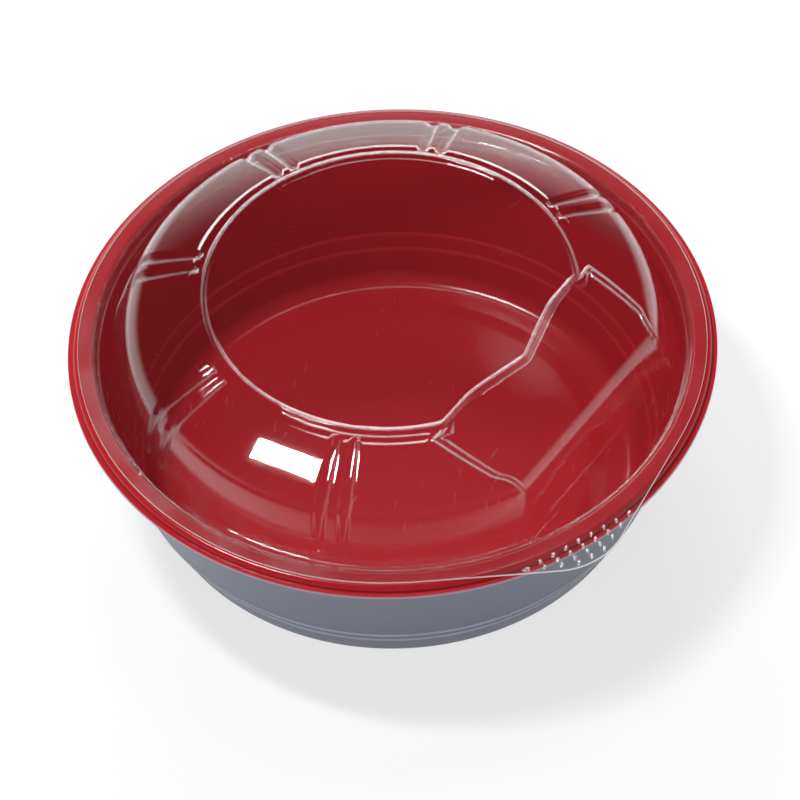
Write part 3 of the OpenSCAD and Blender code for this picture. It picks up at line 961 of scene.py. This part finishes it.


# Clear sheet: see-through and mirror mixed by a power of the glancing view, with a white scatter
# where it is dusty, rubbed or fogged (on the left-front also a painted reflection), on the frosty
# dots and cut edge (also painted glints) and on the side beads' flanks (a painted highlight).
def clearPlastic():
    c = clear
    material, tree, place = newMaterial("clear_sheet_plastic")
    facing = tree.node("ShaderNodeLayerWeight", {}, {"Blend": 0.5}, "Facing")
    mirror = c["headOn"] + (1 - c["headOn"]) * facing**c["rise"]
    low = (1 - axisOf(place, "Z").ramp(*c["fogTop"])) * radiusOf(place).ramp(*c["fogIn"])
    corner = vectorMaths("DOT_PRODUCT", "Value", place, c["fogWay"]).ramp(*c["fogFrom"])
    blotch = c["blotchLeast"] + marks(place, *c["blotch"]) * (1 - c["blotchLeast"])
    fogAndReflection = low * blotch * (c["fogElsewhere"] + corner * (1 - c["fogElsewhere"]))
    dust, rubbed = (marks(place, *c[name]) for name in ("dust", "rubbed"))
    frostAndGlint = tree.node("ShaderNodeAttribute", {"attribute_name": "frostAndGlint"}, {}, "Fac")
    haze = c["haze"] + dust * c["dustShare"] + rubbed * c["rubbedShare"] + fogAndReflection * c["fogAndReflectionShare"]
    bump = bumped(noise(place, *c["swell"]), *c["bump"])
    glass = tree.node("ShaderNodeBsdfTransparent", {}, {"Color": c["tint"]})
    gloss = tree.node("ShaderNodeBsdfAnisotropic", {},
                      {"Color": (1, 1, 1, 1), "Roughness": c["roughness"], "Normal": bump})
    milk = tree.node("ShaderNodeBsdfDiffuse", {}, {"Color": c["milk"]})
    shade(tree, mixed(haze + frostAndGlint * tab["frostAndGlintWhite"], mixed(mirror, glass, gloss), milk))
    return material


def finishPiece(piece, material, body, node):
    piece.data.materials.append(material)
    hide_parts(node)
    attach(piece, body)


finishPiece(redSkin, redPlastic(), "bowl", "bowl_inner_layer")
finishPiece(greySkin, greyPlastic(), "bowl", "bowl_outer_layer")
finishPiece(lidPiece, clearPlastic(), "lid", "lid")
print("materials set")


# 1 for light rays of that kind, otherwise 0.
def rayIs(tree, kind):
    return tree.node("ShaderNodeLightPath", {}, {}, "Is " + kind + " Ray")


# The pose of a thing whose own axes point right, up and back.
def posed(right, up, back, place):
    return Matrix(np.stack([right, up, back, place], 1).tolist() + [[0, 0, 0, 1]])


stage = {
    "floorRings": (200, 500, 1000),
    "floorRadius": 1700.0,
    "sweepRadius": 350.0,
    "sweepRows": 13,
    "turns": 96,
    "floorHeight": -0.2,
    "bounce": 0.8,  # how white it is for light that goes on to the object
    "shown": 1.12,  # and for the camera, near the object
    "glow": 0.72,  # share of plain white in that
    "allWhite": (0.15, 0.30),  # metres from the middle over which it becomes plain white
    "dark": 0.04,  # what mirrors see of the floor in front of the object
    "darkFrom": (0.08, 0.45),
}


# Floor and backdrop: a disc that sweeps up into a low wall all round, turned about the axis. The
# camera sees it white, and mirrors see a dark studio in front.
def backdrop():
    s = stage
    sweep = np.radians(np.linspace(0, 90, s["sweepRows"]))
    radius = np.append(s["floorRings"], s["floorRadius"] + s["sweepRadius"] * np.sin(sweep))
    rise = np.append([0] * len(s["floorRings"]), s["sweepRadius"] * (1 - np.cos(sweep))) + s["floorHeight"]
    angles = np.linspace(0, 2 * math.pi, s["turns"], endpoint=False)
    x, y = radius[:, None] * np.cos(angles), radius[:, None] * np.sin(angles)
    rings = np.stack([x, y, np.repeat(rise[:, None], len(angles), 1)], 2)
    piece = skin("backdrop", rings, (0, 0, s["floorHeight"]))

    material, tree, place = newMaterial("white_backdrop")
    camera, glossy, through = (rayIs(tree, kind) for kind in ("Camera", "Glossy", "Transmission"))
    seen = tree.maths("MAXIMUM", tree.maths("MAXIMUM", camera, glossy), through)
    plain, near = (tree.node("ShaderNodeBsdfDiffuse", {}, {"Color": (s[name],) * 3 + (1,)})
                   for name in ("bounce", "shown"))
    white, dark = (tree.node("ShaderNodeEmission", {}, {"Color": (1, 1, 1, 1), "Strength": strength})
                   for strength in (1.0, s["dark"]))
    away = vectorMaths("LENGTH", "Value", place).ramp(*s["allWhite"])
    shown = mixed(s["glow"] + away * (1 - s["glow"]), near, white)
    forward = (0.0 - axisOf(place, "Y")).ramp(*s["darkFrom"])
    shade(tree, mixed(seen, plain, mixed(glossy * forward, shown, dark)))
    piece.data.materials.append(material)


backdrop()

aimHeight = 45.0
lamps = {  # direction (counterclockwise from +X), elevation, lean, distance, width and height in mm, watts
    "key_softbox": (175.5, 70.3, 28.5, 1278, 90, 295, 9.7),
    "back_softbox": (95, 33, 0, 1400, 1000, 300, 8.5),
    "top_softbox": (90, 68, 0, 1300, 380, 230, 2.1),
}
for name, (turn, rise, lean, distance, width, height, watts) in lamps.items():
    lamp = bpy.data.lights.new(name, "AREA")
    lamp.shape, lamp.size, lamp.size_y, lamp.energy = "RECTANGLE", width * mm, height * mm, watts
    holder = bpy.data.objects.new(name, lamp)
    bpy.context.scene.collection.objects.link(holder)
    a, e = math.radians(turn), math.radians(rise)
    away = np.array([math.cos(a) * math.cos(e), math.sin(a) * math.cos(e), math.sin(e)])
    right = np.array([-math.sin(a), math.cos(a), 0])
    place = away * distance * mm + [0, 0, aimHeight * mm]
    holder.matrix_world = posed(right, np.cross(away, right), away, place) @ \
        Matrix.Rotation(-math.radians(lean), 4, "Z")

sky = {
    "all": 0.02,  # light from everywhere
    "front": 1.8,  # the glow from the front
    "frontFade": (-0.3, 0.5),
    "mirrored": 0.05,  # share of the glow that mirrors see
    "horizon": 0.9,  # the white horizon that only mirrors see
    "horizonTop": (0.1, 0.42),  # directions' heights over which it fades upwards
    "horizonBack": (-0.75, -0.1),  # and over which it sets in from front to back
}


# World light by direction: a little from everywhere, and a glow from the front that goes with the
# square of one minus the height; mirrors see only a share of it and, at the back and the sides, a
# white horizon that fades upwards; the camera sees white.
def studioWorld():
    world = bpy.data.worlds.new("studio")
    bpy.context.scene.world = world
    world.use_nodes = True
    world.node_tree.nodes.clear()
    tree = Wire(world.node_tree)
    toward = tree.node("ShaderNodeTexCoord", {}, {}, "Generated")
    forward, height = axisOf(toward, "Y"), axisOf(toward, "Z")
    level = 1 - tree.maths("MAXIMUM", height, 0.0)
    camera, glossy = (rayIs(tree, kind) for kind in ("Camera", "Glossy"))
    glow = (0.0 - forward).ramp(*sky["frontFade"]) * level * level * sky["front"]
    glow = glow * (1 - glossy * (1 - sky["mirrored"]))
    horizon = (1 - height.ramp(*sky["horizonTop"])) * forward.ramp(*sky["horizonBack"]) * sky["horizon"]
    strength = tree.maths("MAXIMUM", sky["all"] + glow + glossy * horizon, camera)
    lit = tree.node("ShaderNodeBackground", {}, {"Color": (1, 1, 1, 1), "Strength": strength})
    shade(tree, lit, "ShaderNodeOutputWorld")


studioWorld()

view = {
    "elevation": 48.6,
    "roll": 2.306,
    "distance": 1100.0,
    "targetHeight": 48.9,
    "lens": 182.38,
    "sensor": 36,
    "shift": (0.00965, -0.0696),
    "clip": (0.05, 20),  # metres
}
camera = bpy.data.cameras.new("camera")
camera.lens, camera.sensor_width = view["lens"], view["sensor"]
camera.shift_x, camera.shift_y = view["shift"]
camera.clip_start, camera.clip_end = view["clip"]
holder = bpy.data.objects.new("camera", camera)
bpy.context.scene.collection.objects.link(holder)
bpy.context.scene.camera = holder
e, roll = math.radians(view["elevation"]), math.radians(view["roll"])
right = np.array([math.cos(roll), -math.sin(roll) * math.sin(e), -math.sin(roll) * math.cos(e)])
up = np.array([math.sin(roll), math.cos(roll) * math.sin(e), math.cos(roll) * math.cos(e)])
back = np.array([0, -math.cos(e), math.sin(e)])
eye = back * view["distance"] * mm + [0, 0, view["targetHeight"] * mm]
holder.matrix_world = posed(right, up, back, eye)

bpy.context.scene.view_settings.view_transform = "Standard"
print("stage, lamps and camera set")
